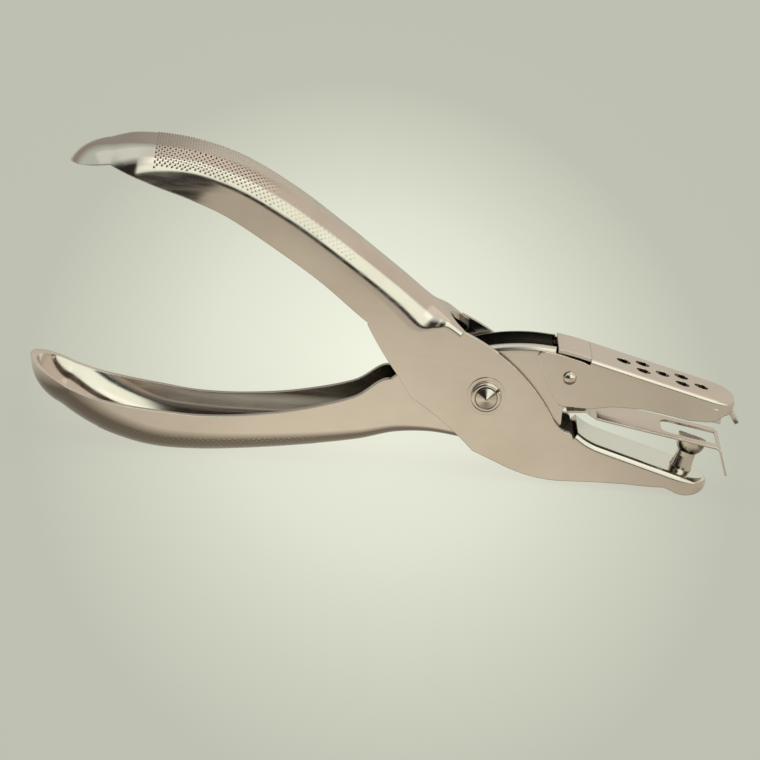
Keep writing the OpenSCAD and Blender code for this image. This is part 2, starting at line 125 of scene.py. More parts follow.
def metal(name, base, dark, rough, bump, wear, grain, bevel=0.00026, fade=None):
    """Plated metal: clouded tint, fine scratches, lighter and rougher worn edges, and painted shade underneath.
    fade darkens the colour along the tool: where that starts and where it is full, its colour and its share."""
    mat, tree, n, link = tree_of(name)
    out = n.new("ShaderNodeOutputMaterial")
    shader = n.new("ShaderNodeBsdfPrincipled")
    shader.inputs["Metallic"].default_value = 1.0
    link.new(shader.outputs[0], out.inputs[0])
    coord = n.new("ShaderNodeTexCoord")

    def mapped(scale):
        m = n.new("ShaderNodeMapping")
        m.inputs["Scale"].default_value = scale
        link.new(coord.outputs["Object"], m.inputs["Vector"])
        return m

    def noise(vector, scale, detail):
        t = n.new("ShaderNodeTexNoise")
        t.inputs["Scale"].default_value = scale
        t.inputs["Detail"].default_value = detail
        t.inputs["Roughness"].default_value = 0.55
        link.new(vector.outputs[0], t.inputs["Vector"])
        return t

    def relief(height, strength, distance, normal):
        b = n.new("ShaderNodeBump")
        b.inputs["Strength"].default_value = strength
        b.inputs["Distance"].default_value = distance
        link.new(height.outputs[0], b.inputs["Height"])
        link.new(normal, b.inputs["Normal"])
        return b.outputs[0]

    plain = mapped((1, 1, 1))
    cloud = noise(plain, 55, 4)
    fine = noise(plain, 1500, 2)
    streak = noise(mapped(grain), 1.0, 2)
    # Tint with soft clouds of darker plating
    colour = mix(tree, map_range(tree, cloud.outputs[0], 0.42, 0.75, 0.0, 0.55), base, dark)
    # Edges, from the angle between the true normal and the rounded one
    rounded = n.new("ShaderNodeBevel")
    rounded.samples = 6
    rounded.inputs["Radius"].default_value = bevel
    geo = n.new("ShaderNodeNewGeometry")
    dot = n.new("ShaderNodeVectorMath")
    dot.operation = "DOT_PRODUCT"
    link.new(rounded.outputs[0], dot.inputs[0])
    link.new(geo.outputs["Normal"], dot.inputs[1])
    edge = map_range(tree, dot.outputs["Value"], 0.985, 0.88, 0.0, 1.0)
    spots = map_range(tree, noise(plain, 260, 3).outputs[0], 0.46, 0.62, 0.25, 1.0)
    worn = maths(tree, "MULTIPLY", edge, spots)
    colour = mix(tree, worn, colour, wear)
    # Painted shade on lower edges and undersides: darker where the rounded normal faces down
    low = map_range(tree, split_xyz(tree, rounded.outputs[0])["Z"], -0.14, -0.45, 0.0, 0.85)
    colour = mix(tree, low, colour, (0.10, 0.07, 0.05))
    if fade:
        start, full, tone, share = fade
        along = split_xyz(tree, coord.outputs["Object"])["X"]
        colour = mix(tree, map_range(tree, along, start, full, 0.0, share), colour, tone)
    link.new(colour, shader.inputs["Base Color"])
    # Roughness: streaks, rougher where worn
    streaked = map_range(tree, streak.outputs[0], 0.3, 0.7, rough * 0.75, rough * 1.3)
    link.new(maths(tree, "MULTIPLY_ADD", worn, 0.12, streaked), shader.inputs["Roughness"])
    # Relief: a slight waviness of the pressing, and fine scratches
    wavy = relief(cloud, bump, 0.00006, rounded.outputs[0])
    link.new(relief(fine, bump * 0.5, 0.000006, wavy), shader.inputs["Normal"])
    return mat


ALONG = (60, 900, 900)  # streaks that run with the tool
nickel = metal("nickel", (0.78, 0.645, 0.57), (0.63, 0.50, 0.425), 0.14, 0.5, (0.95, 0.86, 0.78), ALONG)
INSIDE = ((0.63, 0.59, 0.55), (0.50, 0.465, 0.43), 0.16, 0.5, (0.9, 0.84, 0.78), ALONG)
# The inside darkens to near black from behind the pivot forward: painted shade between the cheeks
inside = metal("inside", *INSIDE, fade=(-0.018, 0.006, (0.10, 0.085, 0.075), 0.78))
lining = metal("lining", *INSIDE)
knurled = metal("knurled", (0.74, 0.62, 0.54), (0.60, 0.48, 0.40), 0.18, 0.3, (0.9, 0.82, 0.74), (300, 900, 900),
                0.00005, fade=(-0.036, -0.050, (0.20, 0.165, 0.14), 0.6))
# The next two are dark and near-white copies of the nickel: painted shade and painted highlight on the jaw's web
shade = metal("shade", (0.34, 0.29, 0.26), (0.22, 0.19, 0.17), 0.2, 0.5, (0.6, 0.54, 0.49), (300, 300, 300))
bright = metal("painted_highlight_nickel", (0.93, 0.92, 0.86), (0.84, 0.82, 0.75), 0.12, 0.4, (0.95, 0.93, 0.88), ALONG)
nickel_small = metal("nickel_small", (0.76, 0.64, 0.56), (0.58, 0.47, 0.38), 0.16, 0.4, (0.86, 0.76, 0.66),
                     (700, 700, 700), 0.0001)
# Near-black steel for the sunk web: painted shade
painted_shade_steel = metal("painted_shade_steel", (0.10, 0.085, 0.075), (0.05, 0.042, 0.036), 0.3, 0.6, (0.35, 0.31, 0.27),
                   (500, 90, 500), 0.0001)
steel = metal("steel", (0.72, 0.70, 0.67), (0.55, 0.53, 0.50), 0.22, 0.5, (0.85, 0.84, 0.82), (900, 60, 900), 0.0001)
wire_steel = metal("wire_steel", (0.66, 0.63, 0.58), (0.46, 0.43, 0.39), 0.25, 0.5, (0.8, 0.78, 0.74),
                   (400, 400, 400), 0.00005)


# ---------------------------------------------------------------- forms shared with the source
def add2(a, b, k):
    """Point a moved by k times b."""
    return (a[0] + k * b[0], a[1] + k * b[1])


def bulge(a, b, rise, steps):
    """Points of an arc from a to b that rises by rise over its chord."""
    chord = math.dist(a, b)
    along = ((b[0] - a[0]) / chord, (b[1] - a[1]) / chord)
    left = (-along[1], along[0])
    r = (chord * chord / 4 + rise * rise) / (2 * abs(rise))
    side = 1 if rise > 0 else -1
    mid = ((a[0] + b[0]) / 2, (a[1] + b[1]) / 2)
    centre = add2(mid, left, rise - side * r)
    half = math.asin(chord / 2 / r)
    pts = []
    for i in range(steps + 1):
        t = -half + 2 * half * i / steps
        pts.append(add2(add2(centre, along, r * math.sin(t)), left, side * r * math.cos(t)))
    return pts


def smooth_rows(rows, steps, least=0.0):
    """Rows smoothed lengthwise; the half width goes no lower than least, where the wall is one with a flat cheek."""
    flat = [(r[0][0], r[0][1], r[1][0], r[1][1], r[2], r[3], r[4] if len(r) > 4 else 0.0) for r in rows]
    last = len(flat) - 1
    out = []
    for i in range(last):
        a, b, c, d = flat[max(i - 1, 0)], flat[i], flat[i + 1], flat[min(i + 2, last)]
        for k in range(steps):
            t = k / steps
            out.append(tuple(0.5 * (2 * q + (s - p) * t + (2 * p - 5 * q + 4 * s - u) * t * t
                                    + (3 * q - p - 3 * s + u) * t ** 3) for p, q, s, u in zip(a, b, c, d)))
    return [r[:4] + (max(r[4], least), r[5], max(r[6], 0.0)) for r in out + [flat[last]]]


def half_section(half_w, corner, depth, inset, corner_steps, flare):
    """Half of a pressed section, crown to rim; flare is the angle that its wall leans out by, in degrees.
    A corner larger than the depth is cut short at 0.94 of it."""
    r = corner - inset
    reach = min(depth * 0.94, corner)
    stop = rad(90 - flare)
    turn = min(math.acos((corner - reach) / r), stop)
    slope = math.tan(rad(flare))
    if turn < stop:
        rim = half_w - corner + math.sqrt(r * r - (corner - min(depth, corner)) ** 2)
    else:
        rim = half_w - corner + r * math.sin(turn) + (depth - corner + r * math.cos(turn)) * slope
    wide = half_w - corner + corner * math.sin(turn) + max(depth - corner + corner * math.cos(turn), 0) * slope
    shift = half_w - wide if turn == stop else 0.0
    pts = [(half_w - corner + r * math.sin(turn * k / corner_steps) + shift * min(1, k / 4),
            corner - r * math.cos(turn * k / corner_steps)) for k in range(corner_steps + 1)]
    start, end = pts[-1], (rim + shift, depth)
    return pts + [(start[0] + (end[0] - start[0]) * k / WALL_STEPS, start[1] + (end[1] - start[1]) * k / WALL_STEPS)
                  for k in range(1, WALL_STEPS + 1)]


def place(p):
    """A side-view point with its sideways place, (forward, sideways, up) in mm, as metres in the frame."""
    return Vector(((p[0] + PIVOT[0]) * MM, (p[1] + PIVOT[1]) * MM, (p[2] + PIVOT[2]) * MM))


def axes_of(row):
    """Crown point, way down to the rim, and depth of a smoothed row."""
    depth = math.dist(row[:2], row[2:4])
    return row[:2], ((row[2] - row[0]) / depth, (row[3] - row[1]) / depth), depth


def channel(rows, sheet, least, steps=10, corner_steps=16, nose=48, closed_nose=True, front=0.0):
    """A pressed channel from rows of crown, rim, half width, corner and flare. Its first row is closed by half a
    turn, or by two quarter turns with a flat front of half width front between them. Inner faces take slot 1."""
    bm = bmesh.new()
    rings = []
    fine = smooth_rows(rows, steps, least)

    def section_of(row, depth):
        return [half_section(row[4], row[5], depth, inset, corner_steps, row[6]) for inset in (0, sheet)]

    def mirror(pts):
        return [(-p[0], p[1]) for p in pts]

    for row in fine:
        crown, down, depth = axes_of(row)
        outer, inner = section_of(row, depth)
        flat = mirror(outer)[::-1] + outer + inner[::-1] + mirror(inner)
        rings.append([bm.verts.new(place((crown[0] + down[0] * p[1], p[0], crown[1] + down[1] * p[1])))
                      for p in flat])
    n = len(rings[0])
    half = n // 2
    for a, b in zip(rings, rings[1:]):
        for j in range(n):
            face = bm.faces.new((a[j], b[j], b[(j + 1) % n], a[(j + 1) % n]))
            face.material_index = 1 if half <= j < n - 1 else 0
    first, end = rings[0], rings[-1]
    for j in range(half - 1):
        bm.faces.new((end[j], end[n - 1 - j], end[n - 2 - j], end[j + 1]))
    if closed_nose:
        crown, down, depth = axes_of(fine[0])
        along = add2(fine[1][:2], crown, -1)
        turn = 1 if along[0] * down[1] - along[1] * down[0] > 0 else -1
        ahead = (-down[1] * turn, down[0] * turn)
        outer, inner = section_of(fine[0], depth)
        section = outer + inner[::-1]
        q = half // 2
        fans = [[first[q + j] for j in range(half)]]
        turns = [(math.pi * k / nose, front if 2 * k <= nose else -front) for k in range(1, nose)]
        if front:
            turns.insert(nose // 2, (math.pi / 2, -front))
        for a, mid in turns:
            ring = []
            for w, d in section:
                y, x = mid + (w - front) * math.cos(a), (w - front) * math.sin(a)
                ring.append(bm.verts.new(place((crown[0] + down[0] * d + ahead[0] * x, y,
                                                crown[1] + down[1] * d + ahead[1] * x))))
            fans.append(ring)
        fans.append([first[q - 1 - j] if j < q else first[n + q - 1 - j] for j in range(half)])
        for a, b in zip(fans, fans[1:]):
            for j in range(half - 1):
                face = bm.faces.new((a[j], a[j + 1], b[j + 1], b[j]))
                face.material_index = 1 if j >= half // 2 else 0
        bm.faces.new([f[0] for f in fans])
        bm.faces.new([f[half - 1] for f in fans][::-1]).material_index = 1
    else:
        for j in range(half - 1):
            bm.faces.new((first[j], first[j + 1], first[n - 2 - j], first[n - 1 - j]))
    bmesh.ops.recalc_face_normals(bm, faces=bm.faces)
    return bm


def slope_axes(slope):
    """Unit ways forward along a slope that falls by slope degrees, and up from it."""
    c, s = math.cos(rad(slope)), math.sin(rad(slope))
    return (c, -s), (s, c)


def slope_row(at, slope, wall, half_w, corner):
    """A row for channel, with its wall straight down from the slope."""
    return at, add2(at, slope_axes(slope)[1], -wall), half_w, corner


def prism(points, low, high):
    """A side-view outline pushed across the tool from low to high, in mm."""
    bm = bmesh.new()
    a = [bm.verts.new(place((p[0], low, p[1]))) for p in points]
    b = [bm.verts.new(place((p[0], high, p[1]))) for p in points]
    bm.faces.new(a)
    bm.faces.new(b[::-1])
    m = len(points)
    for i in range(m):
        bm.faces.new((a[i], b[i], b[(i + 1) % m], a[(i + 1) % m]))
    bmesh.ops.recalc_face_normals(bm, faces=bm.faces)
    return bm


def add_cylinder(bm, r, length, at, segments, turn=Matrix()):
    """An upright cylinder about a side-view point, in mm, tilted by turn."""
    bmesh.ops.create_cone(bm, cap_ends=True, segments=segments, radius1=r * MM, radius2=r * MM, depth=length * MM,
                          matrix=Matrix.Translation(place(at)) @ turn)


def smooth(mesh, sharp):
    """Smooth shading, with edges over sharp degrees kept hard."""
    for p in mesh.polygons:
        p.use_smooth = True
    mesh.set_sharp_from_angle(angle=rad(sharp))


def to_object(bm, name, sharp=SHARP):
    """A linked object from a bmesh, which is freed."""
    mesh = bpy.data.meshes.new(name)
    bm.to_mesh(mesh)
    bm.free()
    obj = bpy.data.objects.new(name, mesh)
    bpy.context.scene.collection.objects.link(obj)
    smooth(mesh, sharp)
    return obj


def cheek_plates(outline, sheet, half_w):
    """Both flat cheeks of a lever, a little thinner than its sheet."""
    low, high = half_w - sheet + CHEEK_INSET, half_w - CHEEK_INSET
    return [to_object(prism(outline, *y), "plate") for y in ((-high, -low), (low, high))]


def clear_slivers(mesh):
    """Welds what a boolean left a hair apart, and drops islands of a few faces."""
    bm = bmesh.new()
    bm.from_mesh(mesh)
    bmesh.ops.remove_doubles(bm, verts=bm.verts, dist=WELD)
    bmesh.ops.dissolve_degenerate(bm, edges=bm.edges, dist=WELD)
    left = set(bm.faces)
    stray = []
    while left:
        island, front = set(), [left.pop()]
        while front:
            f = front.pop()
            island.add(f)
            for e in f.edges:
                for g in e.link_faces:
                    if g in left:
                        left.discard(g)
                        front.append(g)
        if len(island) < LEAST_FACES:
            stray += island
    bmesh.ops.delete(bm, geom=stray, context="FACES")
    bm.to_mesh(mesh)
    bm.free()


def cut(obj, *cutters, operation="DIFFERENCE"):
    """The object less its cutters, or joined to them."""
    for c in cutters:
        mod = obj.modifiers.new("cut", "BOOLEAN")
        mod.operation = operation
        mod.solver = "EXACT"
        mod.object = c
    deps = bpy.context.evaluated_depsgraph_get()
    mesh = bpy.data.meshes.new_from_object(obj.evaluated_get(deps))
    obj.modifiers.clear()
    clear_slivers(mesh)
    obj.data = mesh
    smooth(mesh, SHARP_CUT)
    return obj


def drop(*objs):
    for o in objs:
        bpy.data.objects.remove(o)


def fuse(name, objs, half_w):
    """One solid from several; vertices that lie on the cheek's plane are put exactly on it first."""
    for o in objs:
        for v in o.data.vertices:
            if abs(abs(v.co.y) - half_w * MM) < PLANE_NEAR:
                v.co.y = math.copysign(half_w * MM, v.co.y)
    cut(objs[0], *objs[1:], operation="UNION")
    drop(*objs[1:])
    objs[0].name = name
    return objs[0]


def finish_piece(obj, mat, body, replaces=(), more=(), bend=None):
    """Gives a piece its materials and the body it rides on, and hides the nodes it replaces; with bend it rides on no
    body and its place is baked into its mesh, and the bodies and points that bend holds are not used.
    """
    obj.data.materials.clear()
    for m in (mat, *more):
        obj.data.materials.append(m)
    if more:
        # The inner sides of the cheeks take the second material: the inner finish, which in the inside material is
        # darkened by painted shade towards the pivot
        for p in obj.data.polygons:
            if abs(p.normal.y) > 0.95 and abs(p.center.y) > INNER_FROM and p.normal.y * p.center.y < 0:
                p.material_index = 1
    if bend:
        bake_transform(obj)
    else:
        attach(obj, body)
    if replaces:
        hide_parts(*replaces)
    return obj


# ---------------------------------------------------------------- outer lever
# Rows run from the nose of a handle to the pivot: crown, rim, half width, corner and flare
punch_handle = [
    ((-79, 44.1), (-78.45, 41.2), 10.3, 8.4, 9), ((-74.3, 45.1), (-73.7, 39.6), 10.2, 6.6, 12),
    ((-68, 45.2), (-68.5, 37.8), 9.9, 5.6, 13), ((-60, 44.35), (-62.3, 35.8), 9.3, 5.2, 12.5),
    ((-51, 41.85), (-54.8, 32.8), 8.6, 5.5, 5), ((-40.7, 36.8), (-45.5, 27.4), 7.9, 5.9, 0),
    ((-30, 29.9), (-35.2, 20.8), 7.38, 5.8, 0), ((-19.3, 22.55), (-24.8, 13), CHEEK_W, 5.9, 0),
    ((-12.6, 17.75), (-18, 9.5), CHEEK_W, 6.3, 0), ((-9.8, 15.8), (-14.5, 8), CHEEK_W, 3.4, 0),
    ((-8.2, 14.6), (-12.5, 7), CHEEK_W, 1.6, 0), ((-3.6, 11.4), (-7.5, 4.5), CHEEK_W, 1.45, 0)]
die_handle = [
    ((-85.2, -10.6), (-82.9, -5.3), 10.6, 10.2), ((-80, -13.5), (-78.3, -6.7), 10.3, 9.0),
    ((-74, -15.7), (-72.8, -7.6), 10.1, 7.8), ((-66, -17.2), (-65.5, -8.3), 9.7, 6.6),
    ((-57, -17.3), (-57.3, -8.8), 8.9, 6), ((-47, -16.3), (-48, -8.2), 8.1, 5.3),
    ((-36, -14.7), (-37.5, -6.4), 7.2, 4.5), ((-25, -12.6), (-26.4, -3.0), 6.2, 3.6),
    ((-17.5, -10.3), (-19.4, 1.3), DIE_CHEEK_W, 2.6), ((-10.5, -9.4), (-10.8, -3), DIE_CHEEK_W, 1.8),
    ((-4, -9.9), (-4, -4), DIE_CHEEK_W, 1.5)]

upper = to_object(channel(punch_handle, PUNCH_SHEET, CHEEK_W), "upper")
# The channel stops short of the pivot, with a round mouth in its web
FRONT_X, MOUTH_R = -5.7, 6.2
front_cut = to_object(prism([(FRONT_X, 30), (FRONT_X, 12.8), (0, 9), (0, -20), (20, -20), (20, 30)], -WIDE, WIDE),
                      "front_cut")
mouth = bmesh.new()
add_cylinder(mouth, MOUTH_R, 60, (-2.3, 0, 30), 96)
mouth = to_object(mouth, "mouth")
cut(upper, front_cut, mouth)

JAW_SLOPE, JAW_REAR_SLOPE, JAW_REAR_R, JAW_LEN, JAW_CORNER = 15.6, 38.0, 13.8, 16.5, 1.4
jaw_dir, jaw_up = slope_axes(JAW_SLOPE)
jaw_start = (24, -8.77)
jaw_rear = add2(jaw_start, jaw_up, JAW_REAR_R)
jaw_rows = [slope_row(add2(jaw_start, jaw_dir, s * JAW_LEN), JAW_SLOPE, 6 + 3 * s, CHEEK_W, JAW_CORNER)
            for s in (1, 0.75, 0.5, 0.25, 0)]
jaw_rows += [slope_row(add2(jaw_rear, slope_axes(a)[1], -JAW_REAR_R), a, 4, CHEEK_W, JAW_CORNER)
             for a in (22, 30, JAW_REAR_SLOPE)]
jaw = to_object(channel(jaw_rows, PUNCH_SHEET, CHEEK_W, steps=4, corner_steps=10, nose=64), "jaw")

# The cheek's rear edge follows the line 0.02 mm below the handle's corner
corner_line = []
for row in smooth_rows(punch_handle, 10, CHEEK_W):
    share = (row[5] + 0.02) / math.dist(row[:2], row[2:4])
    corner_line.append(add2(row, (row[2] - row[0], row[3] - row[1]), share))
punch_front = bulge((FRONT_X, 12.8), (14.1, -4.2), 2.2, 40) + [
    (15.5, -5.7), (16.4, -6.15), (17.4, -6.3), (18, -6.8), (18.3, -7.9), (21.1, -9.6), (23.5, -10.5), (27, -11.5),
    (27, -19), (0, -19)]
punch_rear = (bulge((-1.7, -11.7), (-15, -1.6), -0.5, 16) + bulge((-17.9, 2.5), (-25, 12.7), 0.25, 10)
              + [p for p in corner_line if -24 < p[0] < -6])
under_cut = ([(-6, -30), (-1.7, -11.7)] + bulge((15.7, -16.5), (5, -14.4), 0.5, 16)[::-1] + [(24, -16.1)]
             + bulge((30, -16), (37.4, -16), -0.1, 8) + bulge((39.3, -16.7), (47.3, -16.3), -1.05, 24)
             + [(60, -16), (60, -30)])
under = to_object(prism(under_cut, -WIDE, WIDE), "under")
punch_lever = fuse("outer_lever", [upper, jaw] + cheek_plates(punch_front + punch_rear, PUNCH_SHEET, PUNCH_HALF_W),
                   CHEEK_W)
cut(punch_lever, under)
drop(front_cut, mouth, under)
finish_piece(punch_lever, nickel, "punch_lever", ["punch_lever"], [inside, bright, shade])
# Painted highlight and painted shade on the jaw's web: a near-white copy of the nickel ahead of WEB_BRIGHT_FROM and a
# dark copy behind it; all in metres
WEB_FROM, WEB_BRIGHT_FROM, WEB_TOP, WEB_HALF_W = 0.030, 0.0388, 0.014, 0.0066
web_up = Vector((jaw_up[0], 0, jaw_up[1]))
for p in punch_lever.data.polygons:
    at = p.center
    if at.x > WEB_FROM and at.z < WEB_TOP and abs(at.y) < WEB_HALF_W and p.normal.dot(web_up) > 0.7:
        p.material_index = 2 if at.x > WEB_BRIGHT_FROM else 3

# ---------------------------------------------------------------- inner lever
CROWN_CENTRE, CROWN_R = (9.2, -29.1), 40.0


def crown_at(r, x):
    """The point over x on a circle of radius r about the crown's centre."""
    return (x, CROWN_CENTRE[1] + math.sqrt(r * r - (x - CROWN_CENTRE[0]) ** 2))


def crown_row(x, depth, half_w, corner):
    """A row for channel, square to the crown over x."""
    top = crown_at(CROWN_R, x)
    out = ((top[0] - CROWN_CENTRE[0]) / CROWN_R, (top[1] - CROWN_CENTRE[1]) / CROWN_R)
    return (top, add2(top, out, -depth), half_w, corner)


die_top = [crown_at(CROWN_R - 1.8, -4.6 + 0.75 * i) for i in range(25)] + [(18.7, 7.9), (46.1, 1.25)]
die_outline = ([(-19.3, 1.2), (-15.5, 4.7)] + bulge((-12, 6.9), (-5.6, 8.3), 0.3, 8)
               + die_top + [(46.1, -1.2), (41, -1.6), (36.3, -0.7), (31, 0.15), (25.6, 0.1), (21, -0.85)]
               + [(16, -1.3), (15.6, -2.2)] + bulge((15.6, -5), (4, -11.2), 1.6, 24)
               + [(-2, -9.2), (-10.5, -7.2), (-17.9, -7.4)])
lower = to_object(channel(die_handle, DIE_SHEET, DIE_CHEEK_W), "lower")
crown_rows = [crown_row(x, 4, DIE_CHEEK_W, 1.3) for x in (-5, -0.5, 4, 8.6, 13.2)]
crown = to_object(channel(crown_rows, DIE_SHEET, DIE_CHEEK_W, steps=8, corner_steps=10, closed_nose=False), "crown")
# The web between the bends is cut out, and a sunk one takes its place
WEB_CUT_HALF_W = 4.15
web_cut = to_object(prism([(-6, 20), (-6, 6), (13.9, 6), (13.9, 20)], -WEB_CUT_HALF_W, WEB_CUT_HALF_W), "web_cut")
cut(crown, web_cut)
drop(web_cut)
die_lever = fuse("inner_lever", [lower, crown] + cheek_plates(die_outline, DIE_SHEET, DIE_HALF_W), DIE_CHEEK_W)
finish_piece(die_lever, nickel, "die_lever", ["die_lever"], [inside])

# Sunk floor of the upper jaw's back, between the bends; its near-black steel is painted shade
WEB_SINK, WEB_SHEET, SUNK_HALF_W = 2.0, 0.5, 4.45
web_x = [-4.6 + 0.45 * i for i in range(40)]
web_outline = ([crown_at(CROWN_R - WEB_SINK, x) for x in web_x]
               + [crown_at(CROWN_R - WEB_SINK - WEB_SHEET, x) for x in web_x[::-1]])
sunk = to_object(prism(web_outline, -SUNK_HALF_W, SUNK_HALF_W), "sunk_web")
finish_piece(sunk, painted_shade_steel, "die_lever")

# ---------------------------------------------------------------- return spring
SPRING_R, SPRING_WIRE, SPRING_TURNS, COIL_GAP = 3.6, 1.0, 5, 0.5
TURN_STEPS, WIRE_SIDES = 32, 14
upper_leg = [(-5.5, 4.6), (-13, 11.2), (-24.5, 20.5), (-27.5, 22.9)]
lower_leg = [(-5.5, -3.6), (-13, -6.4), (-22.5, -9.3), (-26.5, -10.3)]
leg_from = math.atan2(upper_leg[0][1], upper_leg[0][0]) - math.acos(SPRING_R / math.hypot(*upper_leg[0]))
leg_to = (math.atan2(lower_leg[0][1], lower_leg[0][0]) + 2 * math.pi
          + math.acos(SPRING_R / math.hypot(*lower_leg[0])))
coil_turn = 2 * math.pi * (SPRING_TURNS - 1) + leg_to - leg_from
coil_half_w = (SPRING_WIRE + COIL_GAP) * coil_turn / (4 * math.pi)
path = [(p[0], -coil_half_w, p[1]) for p in upper_leg[::-1]]
for i in range(TURN_STEPS * SPRING_TURNS + 1):
    t = i / (TURN_STEPS * SPRING_TURNS)
    a = leg_from + t * coil_turn
    path.append((SPRING_R * math.cos(a), coil_half_w * (2 * t - 1), SPRING_R * math.sin(a)))
path += [(p[0], coil_half_w, p[1]) for p in lower_leg]
bm = bmesh.new()
points = [place(p) for p in path]
rings = []
for i, p in enumerate(points):
    way = (points[min(i + 1, len(points) - 1)] - points[max(i - 1, 0)]).normalized()
    out = way.cross(Vector((0, 1, 0.001))).normalized()
    up = out.cross(way)
    rings.append([bm.verts.new(p + SPRING_WIRE / 2 * MM * (math.cos(math.tau * k / WIRE_SIDES) * out
                                                          + math.sin(math.tau * k / WIRE_SIDES) * up))
                  for k in range(WIRE_SIDES)])
for a, b in zip(rings, rings[1:]):
    for k in range(WIRE_SIDES):
        m = (k + 1) % WIRE_SIDES
        bm.faces.new((a[k], a[m], b[m], b[k]))
bm.faces.new(rings[0][::-1])
bm.faces.new(rings[-1])
bmesh.ops.recalc_face_normals(bm, faces=bm.faces)
# Its legs lie along the two levers; the spring is baked in place and rides on no body
finish_piece(to_object(bm, "spring_wire", 50), wire_steel, None, ["return_spring"],
             bend=("die_lever", "punch_lever", place((-5.5, 0, -3.6)), place((-5.5, 0, 4.6))))

# ---------------------------------------------------------------- chip cover
COVER_SLOPE, COVER_FRONT, COVER_CORNER = 13.7, 20.4, 0.95
NOSE_X, NOSE_CORNER = 50.5, 5.0
cover_dir, cover_up = slope_axes(COVER_SLOPE)
run_start = add2(CROWN_CENTRE, cover_up, CROWN_R)
reach = (NOSE_X - run_start[0]) / cover_dir[0] - NOSE_CORNER
first = (COVER_FRONT - run_start[0]) / cover_dir[0]
cover_rows = [slope_row(add2(run_start, cover_dir, first + (reach - first) * t), COVER_SLOPE, 11, COVER_CHEEK_W,
                        COVER_CORNER) for t in (1, 0.75, 0.5, 0.25, 0)]
hood = to_object(channel(cover_rows, COVER_SHEET, COVER_CHEEK_W, steps=4, corner_steps=10,
                         front=COVER_HALF_W - NOSE_CORNER), "hood")
hem = [(21, -1), (25.6, -0.15)] + bulge((31.1, -0.1), (41, -1.65), 0.1, 8)
hem += [(45, -1.65), (46.8, -1.2), (48.2, -0.4)]
hem_cut = to_object(prism([(10, -40), (70, -40), (70, -0.3)] + hem[::-1] + [(10, -1)], -WIDE, WIDE), "hem_cut")
# Seven vent holes, one and two by turns, each HOLE_PITCH from its neighbours
HOLE_X, HOLE_PITCH, HOLE_R = 27.2, 4.8, 1.48
holes = bmesh.new()
for i in range(5):
    for j in range(i % 2 + 1):
        x = HOLE_X + i * HOLE_PITCH * math.cos(rad(30)) * cover_dir[0]
        y = (j - 0.5) * HOLE_PITCH if i % 2 else 0.0
        z = run_start[1] - (x - run_start[0]) * math.tan(rad(COVER_SLOPE))
        add_cylinder(holes, HOLE_R, 4, (x, y, z), 40, Matrix.Rotation(rad(COVER_SLOPE), 4, "Y"))
holes = to_object(holes, "holes")
cut(hood, hem_cut, holes)
cover_cheek = ([(9.9, 9.7), (9.6, 9.2)] + bulge((9.75, 8.6), (14, 0.2), -0.35, 16) + [(14.5, -0.6), (15.3, -0.95)]
               + hem[:-1] + [(46.8, 1), (24, 6.6), (COVER_FRONT, 7.9), (18.7, 8.6), (14, 9.75), (10.9, 10.15)])
plates = [to_object(prism(cover_cheek, s * (COVER_HALF_W - COVER_SHEET + CHEEK_INSET), s * COVER_CHEEK_W), "plate")
          for s in (-1, 1)]
# Thumb tab at the front, hanging forward
TAB_R, TAB_TOP, TAB_HALF_SHEET, TAB_TILT = 2.6, 1.3, 0.4, -32
tab = bmesh.new()
outline = [(TAB_R, TAB_TOP)]
outline += [(TAB_R * math.cos(math.pi * k / 24), -TAB_R * math.sin(math.pi * k / 24)) for k in range(25)]
outline += [(-TAB_R, TAB_TOP)]
tilt = Matrix.Translation(place((NOSE_X - 0.45, 0, -1.1))) @ Matrix.Rotation(rad(TAB_TILT), 4, "Y")
sides = [[tab.verts.new(tilt @ Vector((x * MM, q[0] * MM, q[1] * MM))) for q in outline]
         for x in (-TAB_HALF_SHEET, TAB_HALF_SHEET)]
tab.faces.new(sides[0])
tab.faces.new(sides[1][::-1])
for k in range(len(outline)):
    m = (k + 1) % len(outline)
    tab.faces.new((sides[0][k], sides[1][k], sides[1][m], sides[0][m]))
bmesh.ops.recalc_face_normals(tab, faces=tab.faces)
tab = to_object(tab, "tab")
drop(hem_cut, holes)
hood = fuse("cover_hood", [hood] + plates + [tab], COVER_CHEEK_W)
finish_piece(hood, nickel, "chip_cover", ["chip_cover"], [lining])

# Sprung tongue of the cover, which reaches back over the crown of the jaw
TONGUE_FROM, TONGUE_HALF_W, ARC_STEPS = 6.32, 5.7, 12
turns = [rad(TONGUE_FROM + (COVER_SLOPE - TONGUE_FROM) * k / ARC_STEPS) for k in range(ARC_STEPS + 1)]
outer_arc, inner_arc = [[(CROWN_CENTRE[0] + r * math.sin(a), CROWN_CENTRE[1] + r * math.cos(a)) for a in turns]
                        for r in (CROWN_R, CROWN_R - COVER_SHEET)]
front_top = add2(run_start, cover_dir, first)
tongue = outer_arc + [front_top, add2(front_top, cover_up, -COVER_SHEET)] + inner_arc[::-1]
# Its tail lies on the jaw's back and its root at the cover's front; the tongue is baked in place and rides on no body
finish_piece(to_object(prism(tongue, -TONGUE_HALF_W, TONGUE_HALF_W), "tongue"), nickel, None,
             ["cover_tongue"], bend=("die_lever", "chip_cover", place((13.8, 0, 10.4)), place((20.0, 0, 8.8))))

# ---------------------------------------------------------------- materials of the CAD nodes that stay
for name, mat in {"punch_pin": nickel_small, "pivot_pin": nickel_small, "retaining_ring": nickel_small,
                  "pivot_washer": nickel_small, "spacer_sleeve": nickel_small, "die_plate": steel,
                  "stripper_plate": nickel, "near_rivet": nickel_small, "far_rivet": nickel_small,
                  "near_hinge_stud": nickel_small, "far_hinge_stud": nickel_small}.items():
    for s in nodes[name].material_slots:
        s.material = mat

# ---------------------------------------------------------------- knurl on the handle backs
KNURL_PITCH, KNURL_LANE, DOME_R, DOME_RISE = 0.55, 0.6, 0.25, 0.05


